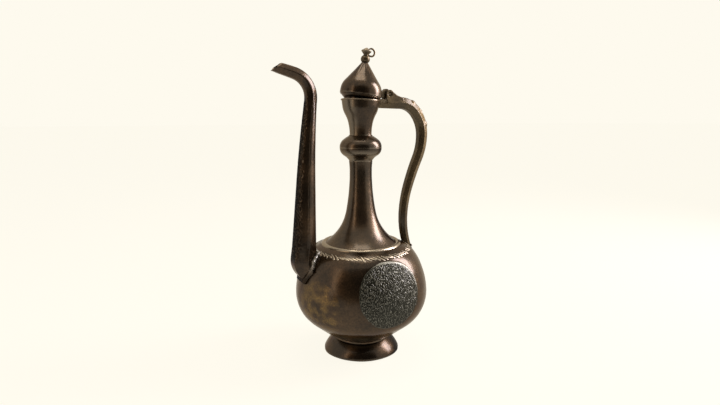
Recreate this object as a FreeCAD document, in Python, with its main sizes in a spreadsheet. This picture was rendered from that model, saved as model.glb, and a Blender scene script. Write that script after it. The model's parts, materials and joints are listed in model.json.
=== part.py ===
import FreeCAD, Part
import math
import os

import Sketcher

# A long-spouted metal ewer: bowl on a flared foot, knopped neck, bent six-sided spout,
# S-shaped handle with a hinge fork, and a domed lid with a finial and its wire ring.
# The origin is on the pot's axis at the foot's resting face. The spout points to -X.

V = FreeCAD.Vector
ORIGIN = V(0, 0, 0)
UPRIGHT = FreeCAD.Rotation(V(1, 0, 0), 90)
HALF_TURN = FreeCAD.Rotation(V(0, 0, 1), 180)
ARC_LEAD = 4.0

doc = FreeCAD.newDocument("LongSpoutedEwer")
sizes = doc.addObject("Spreadsheet::Sheet", "Sizes")

# Driving dimensions in millimetres and degrees. A rise is measured from the level below it.
DIMENSIONS = {
    # foot of beaten sheet
    "foot_radius": 41.7,
    "foot_edge": 2.0,
    "foot_height": 16.5,
    "foot_top_radius": 30.5,
    "foot_curve": 45.0,
    "foot_flange": 5.0,
    "foot_wall": 1.6,
    "collar_bead": 1.7,
    # bowl: a dished bottom, the belly and a shoulder; rises from the foot's top, insets from the belly
    "base_radius": 30.9,
    "flank_inset": 14.8,
    "flank_rise": 21.5,
    "belly_radius": 72.6,
    "belly_rise": 53.5,
    "turn_inset": 12.2,
    "turn_rise": 93.5,
    "shoulder_inset": 19.1,
    "shoulder_rise": 100.7,
    "seam_radius": 41.0,
    "bowl_height": 106.5,
    "bowl_mouth_radius": 36.5,
    "bowl_wall": 1.3,
    "pour_hole": 4.4,
    "pour_hole_circle": 6.4,
    "pour_hole_rise": 83.0,
    "shoulder_bead": 1.9,
    # neck; rises from the seam
    "neck_overrun": 0.8,
    "neck_overrun_radius": 40.4,
    "neck_root_radius": 37.5,
    "neck_root_rise": 1.3,
    "neck_flare_radius": 24.2,
    "neck_flare_rise": 15.0,
    "neck_slope_radius": 16.3,
    "neck_slope_rise": 34.0,
    "neck_waist_radius": 12.0,
    "neck_waist_rise": 77.0,
    "neck_top_radius": 12.6,
    "neck_height": 89.0,
    "neck_wall": 1.2,
    "joint_lip": 0.7,
    # knop in two halves
    "knop_radius": 22.5,
    "knop_lower_height": 14.3,
    "knop_lower_radius": 18.0,
    "knop_lower_drop": 8.6,
    "knop_upper_height": 13.2,
    "knop_upper_radius": 19.0,
    "knop_upper_rise": 8.2,
    # mouth cup; rises from the knop's top
    "cup_waist_radius": 13.2,
    "cup_waist_rise": 13.1,
    "cup_flare_radius": 16.9,
    "cup_flare_rise": 21.5,
    "cup_radius": 20.4,
    "cup_side_rise": 30.5,
    "cup_height": 35.5,
    "cup_wall": 1.2,
    "rim_tilt": 2.7,
    "rim_seat": 0.4,
    "rim_wire": 1.1,
    # spout; insets and reaches are measured from the belly's widest line
    "spout_root_inset": 5.3,
    "spout_root_rise": 94.5,
    "spout_middle_inset": 9.7,
    "spout_middle_rise": 178.0,
    "spout_bend_inset": 16.5,
    "spout_bend_rise": 258.5,
    "beak_reach": 0.7,
    "beak_rise": 284.3,
    "tip_reach": 25.9,
    "tip_rise": 289.6,
    "elbow_turn": 120.0,
    "spout_root_size": 14.4,
    "spout_bend_size": 7.0,
    "tip_size": 6.3,
    "spout_bend_lean": 6.0,
    "tip_lift": 8.0,
    "lip_reach": 19.6,
    "lip_rise": 289.0,
    "lip_cut": 36.0,
    "spout_wall": 1.2,
    "solder_width": 2.4,
    "solder_height": 3.2,
    # handle; drops are measured from the mouth's rim
    "handle_root_reach": 15.0,
    "handle_root_drop": 3.8,
    "bow_start_reach": 46.0,
    "bow_start_drop": 1.7,
    "bow_corner_reach": 68.3,
    "bow_corner_drop": 11.0,
    "bow_reach": 77.6,
    "bow_drop": 35.0,
    "back_reach": 72.0,
    "back_drop": 62.5,
    "slope_reach": 59.8,
    "slope_drop": 94.0,
    "hollow_rise": 27.0,
    "tail_length": 9.57,
    "tail_tuck": 10.63,
    "handle_root_size": 3.9,
    "handle_bow_size": 7.2,
    "handle_tail_size": 4.6,
    "handle_root_lift": 4.0,
    "rivet_shank": 1.1,
    "rivet_head": 1.9,
    "rivet_head_height": 1.1,
    "rivet_spacing": 5.0,
    "rivet_seat": 0.25,
    # hinge
    "hinge_reach": 33.0,
    "hinge_rise": 7.4,
    "ear_radius": 4.6,
    "ear_width": 2.8,
    "ear_recess_radius": 2.5,
    "ear_recess": 1.2,
    "ear_slope": 30.0,
    "ear_back_dip": 1.2,
    "pin_radius": 1.6,
    "pin_clearance": 0.08,
    "knuckle_radius": 4.0,
    "knuckle_width": 5.2,
    "knuckle_gap": 0.3,
    "fork_floor": 4.4,
    "fork_reach": 17.0,
    "fork_sink": 0.8,
    "fork_slot_reach": 8.6,
    "strap_root": 12.5,
    "strap_top_back": 4.0,
    "strap_top_rise": 5.6,
    "strap_thickness": 2.4,
    "knuckle_slope": 20.0,
    # lid, in its own frame from the lower edge of its plug
    "lid_lean": 9.0,
    "lid_gap": 0.6,
    "lid_radius": 22.0,
    "lid_band": 3.1,
    "dome_radius": 18.4,
    "dome_rise": 13.6,
    "dome_top_radius": 3.4,
    "dome_height": 33.5,
    "lid_wall": 1.2,
    "plug_radius": 17.0,
    "plug_depth": 4.2,
    "bezel_slope": 44.0,
    "bezel_flange": 4.5,
    # finial
    "bead_height": 7.2,
    "bead_end_radius": 2.9,
    "bead_curve": 4.3,
    "bud_waist_radius": 2.4,
    "bud_waist_rise": 0.9,
    "bud_lip_radius": 5.3,
    "bud_lip_rise": 4.4,
    "bud_lip_edge": 0.6,
    "bud_tip_radius": 1.3,
    "bud_height": 8.4,
    "stem_radius": 1.5,
    "stem_head_radius": 2.2,
    "stem_head": 1.0,
    "ring_radius": 3.9,
    "ring_wire": 0.6,
    "ring_seat": 1.9,
    "ring_clearance": 0.6,
}

for row, (alias, number) in enumerate(DIMENSIONS.items(), start=1):
    sizes.set(f"A{row}", alias)
    sizes.set(f"B{row}", str(number))
    sizes.setAlias(f"B{row}", alias)
doc.recompute()

# Levels up the pot, from the table to the mouth
FOOT_TOP = "Sizes.foot_height"
SEAM = f"({FOOT_TOP} + Sizes.bowl_height)"
NECK_TOP = f"({SEAM} + Sizes.neck_height)"
KNOP_MIDDLE = f"({NECK_TOP} + Sizes.knop_lower_height)"
KNOP_TOP = f"({KNOP_MIDDLE} + Sizes.knop_upper_height)"
RIM = f"({KNOP_TOP} + Sizes.cup_height)"
HINGE_X = "Sizes.hinge_reach"
HINGE_Z = f"({RIM} + Sizes.hinge_rise)"

# The bowl's radii, and its slope from level where the handle's tail lies on it
FLANK = "(Sizes.belly_radius - Sizes.flank_inset)"
TURN = "(Sizes.belly_radius - Sizes.turn_inset)"
SHOULDER = "(Sizes.belly_radius - Sizes.shoulder_inset)"
FLANK_SLOPE = f"atan2(Sizes.flank_rise; {FLANK} - Sizes.base_radius)"
BELLY_SLOPE = f"(2 * atan2(Sizes.belly_rise - Sizes.flank_rise; Sizes.flank_inset) - {FLANK_SLOPE})"
TURN_HEADING = f"(2 * atan2(Sizes.turn_rise - Sizes.belly_rise; -Sizes.turn_inset) - {BELLY_SLOPE})"
TURN_SLOPE = f"(180 - {TURN_HEADING} / 1 deg)"
SPOUT_ROOT = "(Sizes.belly_radius - Sizes.spout_root_inset)"
SPOUT_BEND = "(Sizes.belly_radius - Sizes.spout_bend_inset)"
SPOUT_TIP = "(Sizes.belly_radius + Sizes.tip_reach)"

# The lid leans towards the hinge, so that its cone clears the rim there by the gap.
RIM_WIRE_RADIUS = "(Sizes.cup_radius - Sizes.cup_wall / 2)"
RIM_BACK = f"(Sizes.rim_seat + Sizes.rim_wire - {RIM_WIRE_RADIUS} * sin(Sizes.rim_tilt))"
BEZEL_DEPTH = "((Sizes.lid_radius - Sizes.plug_radius) * tan(Sizes.bezel_slope))"
CREASE = f"(Sizes.plug_depth + {BEZEL_DEPTH})"
CREASE_LIFT = (
    f"(Sizes.lid_gap + {RIM_BACK} + Sizes.lid_radius * sin(Sizes.lid_lean)"
    f" + (Sizes.lid_radius * cos(Sizes.lid_lean) - {RIM_WIRE_RADIUS})"
    f" * tan(Sizes.bezel_slope - Sizes.lid_lean))"
)
LID_X = f"(-{CREASE} * sin(Sizes.lid_lean))"
LID_Z = f"({RIM} + {CREASE_LIFT} - {CREASE} * cos(Sizes.lid_lean))"
LID_PLACE = f"placement(vector({LID_X}; 0; {LID_Z}); rotation(vector(0; 1; 0); Sizes.lid_lean))"

DOME_TOP = f"({CREASE} + Sizes.dome_height)"
BEAD_TOP = f"({DOME_TOP} + Sizes.bead_height)"
BUD_LIP = f"({BEAD_TOP} + Sizes.bud_lip_rise)"
RING_CENTRE = "(Sizes.ring_seat + Sizes.ring_radius)"

# The hexagons' flat sides face along the handle's and the spout's plane.
FLAT = "cos(30)"


def value(expression):
    """The number that an expression over the sheet comes to."""
    result = sizes.evalExpression(expression)
    return float(getattr(result, "Value", result))


def pin_point(sketch, geometry, end, x, z):
    """Hold a sketch point at two expressions over the sheet."""
    for kind, axis, expression in (("DistanceX", -2, x), ("DistanceY", -1, z)):
        if expression == "0":
            sketch.addConstraint(Sketcher.Constraint("PointOnObject", geometry, end, axis))
            continue
        index = sketch.addConstraint(Sketcher.Constraint(kind, -1, 1, geometry, end, value(expression)))
        sketch.setExpression(f"Constraints[{index}]", expression)


def turned(angle):
    """An angle in radians, brought between minus and plus half a turn."""
    return (angle + math.pi) % (2 * math.pi) - math.pi


def arc_between(start, end, half_turn):
    """An arc whose tangent turns by twice half_turn on its way, to the left where that is positive.

    The circle is counted from a point well before the arc, since an offset of an arc that
    starts at its circle's own zero comes out a full turn late.
    """
    chord = end - start
    to_centre = V(-chord.y, chord.x, 0) / (2 * math.tan(half_turn))
    centre = (start + end) * 0.5 + to_centre
    first = (start if half_turn > 0 else end) - centre
    circle = Part.Circle(centre, V(0, 0, 1), first.Length)
    circle.AngleXU = math.atan2(first.y, first.x) - ARC_LEAD
    return Part.ArcOfCircle(circle, ARC_LEAD, ARC_LEAD + 2 * abs(half_turn))


def add_step(sketch, last, start, heading, step):
    """Draw one run of an outline. Gives its index, its end point's number, its end and its heading."""
    kind, x, z = step[:3]
    end = V(value(x), value(z), 0)
    chord = end - start
    direction = math.atan2(chord.y, chord.x)
    if kind == "line":
        geometry = sketch.addGeometry(Part.LineSegment(start, end), False)
        first, second = 1, 2
        heading = direction
    else:
        if kind == "smooth":
            half_turn = turned(direction - heading)
        else:
            half_turn = math.copysign(1, value(step[3])) * math.asin(chord.Length / 2 / abs(value(step[3])))
        geometry = sketch.addGeometry(arc_between(start, end, half_turn), False)
        first, second = (1, 2) if half_turn > 0 else (2, 1)
        heading = direction + half_turn
    if last is not None:
        join = "Tangent" if kind == "smooth" else "Coincident"
        sketch.addConstraint(Sketcher.Constraint(join, last[0], last[1], geometry, first))
    elif kind == "smooth":
        sketch.addConstraint(Sketcher.Constraint("Horizontal", geometry, 3, geometry, first))
    if kind == "arc":
        index = sketch.addConstraint(Sketcher.Constraint("Radius", geometry, abs(value(step[3]))))
        sketch.setExpression(f"Constraints[{index}]", f"abs({step[3]})")
    if last is None:
        pin_point(sketch, geometry, first, *step[-1])
    pin_point(sketch, geometry, second, x, z)
    return (geometry, second), end, heading


def draw_outline(name, chain, rising=True, to_axis=False, towards_spout=False):
    """A sketch in the XZ plane: a start point, then straight lines and arcs that follow on.

    A smooth step is an arc that leaves the last run without a corner; one that comes first
    leaves the start straight up, or straight down where rising is False. With to_axis the
    outline is closed along the axis of turning.
    """
    sketch = doc.addObject("Sketcher::SketchObject", name)
    rotation = HALF_TURN.multiply(UPRIGHT) if towards_spout else UPRIGHT
    sketch.Placement = FreeCAD.Placement(ORIGIN, rotation)
    start_x, start_z = chain[0]
    here = V(value(start_x), value(start_z), 0)
    heading = math.pi / 2 if rising else -math.pi / 2
    last = None
    first_run = None
    for step in chain[1:]:
        if last is None:
            step = (*step, (start_x, start_z))
        last, here, heading = add_step(sketch, last, here, heading, step)
        first_run = last if first_run is None else first_run
    if to_axis:
        close_on_axis(sketch, V(value(start_x), value(start_z), 0), first_run, here, last)
    return sketch


def close_on_axis(sketch, start, first_run, end, last):
    """Join both ends of an outline to the axis with level lines, and run along the axis between."""
    end_number = last[1]
    start_number = 3 - first_run[1]
    corner = last
    if end.x > 0:
        level = sketch.addGeometry(Part.LineSegment(end, V(0, end.y, 0)), False)
        sketch.addConstraint(Sketcher.Constraint("Coincident", last[0], end_number, level, 1))
        sketch.addConstraint(Sketcher.Constraint("Horizontal", level))
        sketch.addConstraint(Sketcher.Constraint("PointOnObject", level, 2, -2))
        corner = (level, 2)
    axis = sketch.addGeometry(Part.LineSegment(V(0, end.y, 0), V(0, start.y, 0)), False)
    sketch.addConstraint(Sketcher.Constraint("Coincident", corner[0], corner[1], axis, 1))
    if start.x > 0:
        sketch.addConstraint(Sketcher.Constraint("PointOnObject", axis, 2, -2))
        level = sketch.addGeometry(Part.LineSegment(V(0, start.y, 0), start), False)
        sketch.addConstraint(Sketcher.Constraint("Coincident", axis, 2, level, 1))
        sketch.addConstraint(Sketcher.Constraint("Horizontal", level))
        sketch.addConstraint(Sketcher.Constraint("Coincident", level, 2, first_run[0], start_number))
    else:
        sketch.addConstraint(Sketcher.Constraint("Coincident", axis, 2, first_run[0], start_number))


def turn_round(name, source, axis=V(0, 0, 1), angle=360):
    """Turn a profile round an axis into a solid."""
    solid = doc.addObject("Part::Revolution", name)
    solid.Source = source
    solid.Axis = axis
    solid.Base = ORIGIN
    solid.Angle = angle
    solid.Solid = True
    return solid


def sheet_round(name, outline, wall):
    """A shell of sheet metal: the outline thickened to one side and turned round the axis.

    The outline's first step is a line, and a positive wall lies to the left of its direction.
    """
    face = doc.addObject("Part::Offset2D", f"{name}_section")
    face.Source = outline
    face.setExpression("Value", wall)
    face.Fill = True
    face.Mode = "Skin"
    face.Join = "Intersection"
    return turn_round(name, face)


def solid_round(name, chain, rising=True):
    """A full solid of turning under an outline."""
    return turn_round(name, draw_outline(f"{name}_outline", chain, rising, to_axis=True))


def cut(name, base, *tools):
    """Cut each tool from the base in turn. The last cut has the name."""
    for number, tool in enumerate(tools, start=1):
        last = number == len(tools)
        step = doc.addObject("Part::Cut", name if last else f"{name}_cut_{number}")
        step.Base = base
        step.Tool = tool
        base = step
    return base


def fuse(name, *shapes):
    """Join solids into one."""
    joined = doc.addObject("Part::MultiFuse", name)
    joined.Shapes = list(shapes)
    return joined


def rod(name, radius, length, place):
    """A round rod along its own Z."""
    cylinder = doc.addObject("Part::Cylinder", name)
    cylinder.setExpression("Radius", radius)
    cylinder.setExpression("Height", length)
    cylinder.setExpression("Placement", place)
    return cylinder


def cross_rod(name, radius, length, x, z, y="0"):
    """A round rod across the pot, along Y and centred at y."""
    turn = "rotation(vector(1; 0; 0); -90)"
    return rod(name, radius, length, f"placement(vector({x}; {y} - ({length}) / 2; {z}); {turn})")


def wire_ring(name, radius, wire, place):
    """A ring of round wire about its own Z."""
    ring = doc.addObject("Part::Torus", name)
    ring.setExpression("Radius1", radius)
    ring.setExpression("Radius2", wire)
    ring.setExpression("Placement", place)
    return ring


def plate(name, corners, width):
    """A straight-sided plate in the XZ plane, with its width split evenly across Y."""
    chain = [corners[0]] + [("line", *corner) for corner in corners[1:] + corners[:1]]
    outline = draw_outline(f"{name}_outline", chain)
    body = doc.addObject("Part::Extrusion", name)
    body.Base = outline
    body.DirMode = "Custom"
    body.Dir = V(0, 1, 0)
    body.setExpression("LengthFwd", width)
    body.Symmetric = True
    body.Solid = True
    return body


def hexagon(name, size, x, z, heading):
    """A six-sided section square to a heading in the XZ plane, with corners to both sides."""
    section = doc.addObject("Part::RegularPolygon", name)
    section.Polygon = 6
    section.setExpression("Circumradius", size)
    turn = f"rotation(vector(0; 1; 0); -({heading})) * rotation(vector(1; 1; 1); 120)"
    section.setExpression("Placement", f"placement(vector({x}; 0; {z}); {turn})")
    return section


def sweep(name, sections, path, edges):
    """A bar or bore whose section changes evenly along part of a path."""
    bar = doc.addObject("Part::Sweep", name)
    bar.Sections = sections
    bar.Spine = (path, [f"Edge{number}" for number in edges])
    bar.Solid = True
    bar.Frenet = False
    return bar


def place_on_lid(piece):
    """Set a piece that was made in the lid's own frame on the leaning lid."""
    piece.setExpression("Placement", LID_PLACE)
    return piece


# Foot and bowl
foot_chain = [
    ("Sizes.foot_radius", "0"),
    ("line", "Sizes.foot_radius", "Sizes.foot_edge"),
    ("arc", "Sizes.foot_top_radius", FOOT_TOP, "Sizes.foot_curve"),
]
foot_flange = ("line", "Sizes.foot_top_radius - Sizes.foot_flange", FOOT_TOP)
foot = sheet_round("foot", draw_outline("foot_outline", foot_chain + [foot_flange]), "Sizes.foot_wall")
foot_form = solid_round("foot_form", foot_chain)


def bowl_chain(grown):
    """The bowl's outline, from the middle of its bottom to its mouth, moved out by an amount."""
    return [
        ("0", FOOT_TOP),
        ("line", f"Sizes.base_radius + {grown}", FOOT_TOP),
        ("line", f"{FLANK} + {grown}", f"{FOOT_TOP} + Sizes.flank_rise"),
        ("smooth", f"Sizes.belly_radius + {grown}", f"{FOOT_TOP} + Sizes.belly_rise"),
        ("smooth", f"{TURN} + {grown}", f"{FOOT_TOP} + Sizes.turn_rise"),
        ("smooth", f"{SHOULDER} + {grown}", f"{FOOT_TOP} + Sizes.shoulder_rise"),
        ("smooth", f"Sizes.seam_radius + {grown}", SEAM),
        ("line", f"Sizes.bowl_mouth_radius + {grown}", SEAM),
    ]


bowl_shell = sheet_round("bowl_shell", draw_outline("bowl_outline", bowl_chain("0")), "Sizes.bowl_wall")
bowl_form = solid_round("bowl_form", bowl_chain("0"))
foot_collar = cut(
    "foot_collar",
    wire_ring(
        "foot_bead",
        "Sizes.base_radius + Sizes.collar_bead / 2",
        "Sizes.collar_bead",
        f"placement(vector(0; 0; {FOOT_TOP}); rotation(vector(0; 0; 1); 0))",
    ),
    bowl_form,
    foot_form,
)

# Neck, with its root trimmed level on the bowl's seam
neck_chain = [
    ("Sizes.neck_overrun_radius", f"{SEAM} - Sizes.neck_overrun"),
    ("line", "Sizes.neck_root_radius", f"{SEAM} + Sizes.neck_root_rise"),
    ("smooth", "Sizes.neck_flare_radius", f"{SEAM} + Sizes.neck_flare_rise"),
    ("smooth", "Sizes.neck_slope_radius", f"{SEAM} + Sizes.neck_slope_rise"),
    ("smooth", "Sizes.neck_waist_radius", f"{SEAM} + Sizes.neck_waist_rise"),
    ("smooth", "Sizes.neck_top_radius", f"{NECK_TOP} - Sizes.joint_lip"),
    ("line", "Sizes.neck_top_radius", NECK_TOP),
]
below_seam = rod(
    "below_seam",
    "2 * Sizes.neck_overrun_radius",
    SEAM,
    "placement(vector(0; 0; 0); rotation(vector(0; 0; 1); 0))",
)
neck = cut("neck", sheet_round("neck_tube", draw_outline("neck_outline", neck_chain), "Sizes.neck_wall"), below_seam)
neck_form = solid_round("neck_form", neck_chain)
shoulder_ring = cut(
    "shoulder_ring",
    wire_ring(
        "shoulder_wire",
        "Sizes.seam_radius - Sizes.shoulder_bead / 2",
        "Sizes.shoulder_bead",
        f"placement(vector(0; 0; {SEAM}); rotation(vector(0; 0; 1); 0))",
    ),
    bowl_form,
    neck_form,
)

# Knop, two raised halves that meet at the equator
knop_lower_chain = [
    ("Sizes.knop_radius", KNOP_MIDDLE),
    ("line", "Sizes.knop_radius", f"{KNOP_MIDDLE} - Sizes.joint_lip"),
    ("smooth", "Sizes.knop_lower_radius", f"{KNOP_MIDDLE} - Sizes.knop_lower_drop"),
    ("smooth", "Sizes.neck_top_radius", f"{NECK_TOP} + Sizes.joint_lip"),
    ("line", "Sizes.neck_top_radius", NECK_TOP),
]
knop_upper_chain = [
    ("Sizes.knop_radius", KNOP_MIDDLE),
    ("line", "Sizes.knop_radius", f"{KNOP_MIDDLE} + Sizes.joint_lip"),
    ("smooth", "Sizes.knop_upper_radius", f"{KNOP_MIDDLE} + Sizes.knop_upper_rise"),
    ("smooth", "Sizes.neck_top_radius", f"{KNOP_TOP} - Sizes.joint_lip"),
    ("line", "Sizes.neck_top_radius", KNOP_TOP),
]
knop_lower = sheet_round(
    "knop_lower", draw_outline("knop_lower_outline", knop_lower_chain, rising=False), "-Sizes.neck_wall"
)
knop_upper = sheet_round("knop_upper", draw_outline("knop_upper_outline", knop_upper_chain), "Sizes.neck_wall")

# Mouth cup, trimmed to a rim that dips towards the handle
cup_chain = [
    ("Sizes.neck_top_radius", KNOP_TOP),
    ("line", "Sizes.neck_top_radius", f"{KNOP_TOP} + Sizes.joint_lip"),
    ("smooth", "Sizes.cup_waist_radius", f"{KNOP_TOP} + Sizes.cup_waist_rise"),
    ("smooth", "Sizes.cup_flare_radius", f"{KNOP_TOP} + Sizes.cup_flare_rise"),
    ("smooth", "Sizes.cup_radius", f"{KNOP_TOP} + Sizes.cup_side_rise"),
    ("line", "Sizes.cup_radius", f"{RIM} + Sizes.cup_radius * tan(2 * Sizes.rim_tilt)"),
]
RIM_PLACE = f"placement(vector(0; 0; {RIM}); rotation(vector(0; 1; 0); Sizes.rim_tilt))"
above_rim = rod("above_rim", "2 * Sizes.cup_radius", "Sizes.cup_height", RIM_PLACE)
cup_tube = sheet_round("cup_tube", draw_outline("cup_outline", cup_chain), "Sizes.cup_wall")
mouth_cup = cut("mouth_cup", cup_tube, above_rim)
cup_form = solid_round("cup_form", cup_chain)
RIM_WIRE_PLACE = f"{RIM_PLACE} * placement(vector(0; 0; Sizes.rim_seat); rotation(vector(0; 0; 1); 0))"
below_rim = rod(
    "below_rim",
    "2 * Sizes.cup_radius",
    "Sizes.cup_height",
    f"{RIM_PLACE} * placement(vector(0; 0; -Sizes.cup_height); rotation(vector(0; 0; 1); 0))",
)
rim_ring = wire_ring("rim_ring", RIM_WIRE_RADIUS, "Sizes.rim_wire", RIM_WIRE_PLACE)
rim_wire = cut("rim_wire", rim_ring, below_rim)

# Spout: an elbow against the bowl, a long tapering run and a bent beak
spout_path = draw_outline(
    "spout_path",
    [
        (SPOUT_ROOT, f"{FOOT_TOP} + Sizes.spout_root_rise"),
        ("line", "Sizes.belly_radius - Sizes.spout_middle_inset", f"{FOOT_TOP} + Sizes.spout_middle_rise"),
        ("smooth", SPOUT_BEND, f"{FOOT_TOP} + Sizes.spout_bend_rise"),
        ("smooth", "Sizes.belly_radius + Sizes.beak_reach", f"{FOOT_TOP} + Sizes.beak_rise"),
        ("smooth", SPOUT_TIP, f"{FOOT_TOP} + Sizes.tip_rise"),
    ],
    towards_spout=True,
)


def spout_form(name, grown, beaked=True):
    """The spout's six-sided form, with every corner moved out by the same amount."""
    root_x = f"(-{SPOUT_ROOT})"
    root_z = f"({FOOT_TOP} + Sizes.spout_root_rise)"
    root_size = f"(Sizes.spout_root_size + {grown})"
    bend_z = f"({FOOT_TOP} + Sizes.spout_bend_rise)"
    tip_z = f"({FOOT_TOP} + Sizes.tip_rise)"
    root = hexagon(f"{name}_root", root_size, root_x, root_z, "90")
    bend = hexagon(
        f"{name}_bend",
        f"Sizes.spout_bend_size + {grown}",
        f"(-{SPOUT_BEND})",
        bend_z,
        "90 - Sizes.spout_bend_lean",
    )
    elbow = turn_round(f"{name}_elbow", root, V(0, -1, 0))
    elbow.setExpression("Angle", "Sizes.elbow_turn")
    elbow.setExpression("Base.x", f"{root_x} + {root_size} * {FLAT}")
    elbow.setExpression("Base.z", root_z)
    run = sweep(f"{name}_run", [root, bend], spout_path, (1, 2))
    if not beaked:
        return fuse(name, elbow, run)
    tip = hexagon(
        f"{name}_tip", f"Sizes.tip_size + {grown}", f"(-{SPOUT_TIP})", tip_z, "180 - Sizes.tip_lift"
    )
    beak = sweep(f"{name}_beak", [bend, tip], spout_path, (3, 4))
    return fuse(name, elbow, run, beak)


spout_outside = spout_form("spout_outside", "0")
spout_bore = spout_form("spout_bore", f"-Sizes.spout_wall / {FLAT}")
LIP_BLOCK = "(6 * Sizes.tip_size)"
lip_block = doc.addObject("Part::Box", "lip_block")
for side in ("Length", "Width", "Height"):
    lip_block.setExpression(side, LIP_BLOCK)
lip_block.setExpression(
    "Placement",
    f"placement(vector(-Sizes.belly_radius - Sizes.lip_reach; 0; {FOOT_TOP} + Sizes.lip_rise);"
    f" rotation(vector(0; 1; 0); -Sizes.lip_cut))"
    f" * placement(vector(-{LIP_BLOCK} / 2; -{LIP_BLOCK} / 2; 0); rotation(vector(0; 0; 1); 0))",
)
spout = cut("spout", spout_outside, spout_bore, lip_block, bowl_form)

# Solder fillet round the spout's root, where a wider spout meets a fuller bowl
solder_patch = doc.addObject("Part::Common", "solder_patch")
solder_patch.Base = spout_form("solder_sleeve", "Sizes.solder_width", beaked=False)
solder_patch.Tool = solid_round("solder_bowl", bowl_chain("Sizes.solder_height"))
spout_solder = cut("spout_solder", solder_patch, bowl_form, spout_outside)

# Handle: an arm from the mouth cup, the bow, and a tail that lies on the bowl
TURN_LEVEL = f"({FOOT_TOP} + Sizes.turn_rise)"
TAIL_FALL = f"({TURN_SLOPE} + Sizes.tail_tuck / 2)"
TAIL_X = f"({TURN} + Sizes.tail_length * cos({TAIL_FALL}))"
TAIL_Z = f"({TURN_LEVEL} - Sizes.tail_length * sin({TAIL_FALL}))"
HOLLOW_LEVEL = f"({SEAM} + Sizes.hollow_rise)"
bow_chain = [
    ("Sizes.handle_root_reach", f"{RIM} - Sizes.handle_root_drop"),
    ("line", "Sizes.bow_start_reach", f"{RIM} - Sizes.bow_start_drop"),
    ("smooth", "Sizes.bow_corner_reach", f"{RIM} - Sizes.bow_corner_drop"),
    ("smooth", "Sizes.bow_reach", f"{RIM} - Sizes.bow_drop"),
    ("smooth", "Sizes.back_reach", f"{RIM} - Sizes.back_drop"),
    ("smooth", "Sizes.slope_reach", f"{RIM} - Sizes.slope_drop"),
]


def fall_at_end(points):
    """The heading in radians at the end of a straight run and the smooth arcs that follow it."""
    heading = None
    for start, end in zip(points, points[1:]):
        chord = math.atan2(end[1] - start[1], end[0] - start[0])
        heading = chord if heading is None else 2 * chord - heading
    return heading


def hollow_reach():
    """How far out the handle's hollow lies, for its bar to run into the tail without a corner."""
    points = [(value(step[-2]), value(step[-1])) for step in bow_chain]
    level = value(HOLLOW_LEVEL)
    turn = (value(TURN), value(TURN_LEVEL))
    fall = -math.radians(value(f"{TURN_SLOPE} + Sizes.tail_tuck"))
    near, far = -value("Sizes.bow_reach"), 2 * value("Sizes.bow_reach")
    for _ in range(60):
        middle = (near + far) / 2
        if fall_at_end([*points, (middle, level), turn]) > fall:
            near = middle
        else:
            far = middle
    return middle


handle_path = draw_outline(
    "handle_path",
    [
        *bow_chain,
        ("smooth", f"{hollow_reach():.5f}", HOLLOW_LEVEL),
        ("smooth", TURN, TURN_LEVEL),
        ("smooth", TAIL_X, TAIL_Z),
    ],
)
arm_section = hexagon(
    "arm_section",
    "Sizes.handle_root_size",
    "Sizes.handle_root_reach",
    f"({RIM} - Sizes.handle_root_drop)",
    "Sizes.handle_root_lift",
)
bow_section = hexagon(
    "bow_section",
    "Sizes.handle_bow_size",
    "Sizes.bow_start_reach",
    f"({RIM} - Sizes.bow_start_drop)",
    "Sizes.handle_root_lift",
)
tail_section = hexagon(
    "tail_section",
    "Sizes.handle_tail_size",
    TAIL_X,
    TAIL_Z,
    f"-{TURN_SLOPE}",
)
handle_arm = sweep("handle_arm", [arm_section, bow_section], handle_path, (1,))
handle_bow = sweep("handle_bow", [bow_section, tail_section], handle_path, range(2, 9))

# Two rivets through the tail and the bowl's wall
RIVET_GRIP = f"(Sizes.rivet_seat + Sizes.bowl_wall + Sizes.handle_tail_size * {FLAT})"
RIVET_INNER = "(Sizes.rivet_head_height + Sizes.rivet_seat + Sizes.bowl_wall)"
RIVET_LENGTH = f"(2 * Sizes.rivet_head_height + {RIVET_GRIP})"
RIVET_DOME = "(Sizes.rivet_head ^ 2 + Sizes.rivet_head_height ^ 2) / (2 * Sizes.rivet_head_height)"
rivet_chain = [
    ("Sizes.rivet_head", "0"),
    ("line", "Sizes.rivet_head", "Sizes.rivet_head_height"),
    ("line", "Sizes.rivet_shank", "Sizes.rivet_head_height"),
    ("line", "Sizes.rivet_shank", f"Sizes.rivet_head_height + {RIVET_GRIP}"),
    ("line", "Sizes.rivet_head", f"Sizes.rivet_head_height + {RIVET_GRIP}"),
    ("arc", "0", RIVET_LENGTH, RIVET_DOME),
]
rivets = []
rivet_holes = []
for name, side in (("left", "-1"), ("right", "1")):
    rivet_place = (
        f"placement(vector({TURN} - {RIVET_INNER} * sin({TURN_SLOPE});"
        f" {side} * Sizes.rivet_spacing / 2; {TURN_LEVEL} - {RIVET_INNER} * cos({TURN_SLOPE}));"
        f" rotation(vector(0; 1; 0); {TURN_SLOPE}))"
    )
    rivet = solid_round(f"rivet_{name}", rivet_chain)
    rivet.setExpression("Placement", rivet_place)
    rivets.append(rivet)
    rivet_holes.append(rod(f"rivet_hole_{name}", "Sizes.rivet_shank", RIVET_LENGTH, rivet_place))
handle_rivets = doc.addObject("Part::Compound", "handle_rivets")
handle_rivets.Links = rivets

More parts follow.
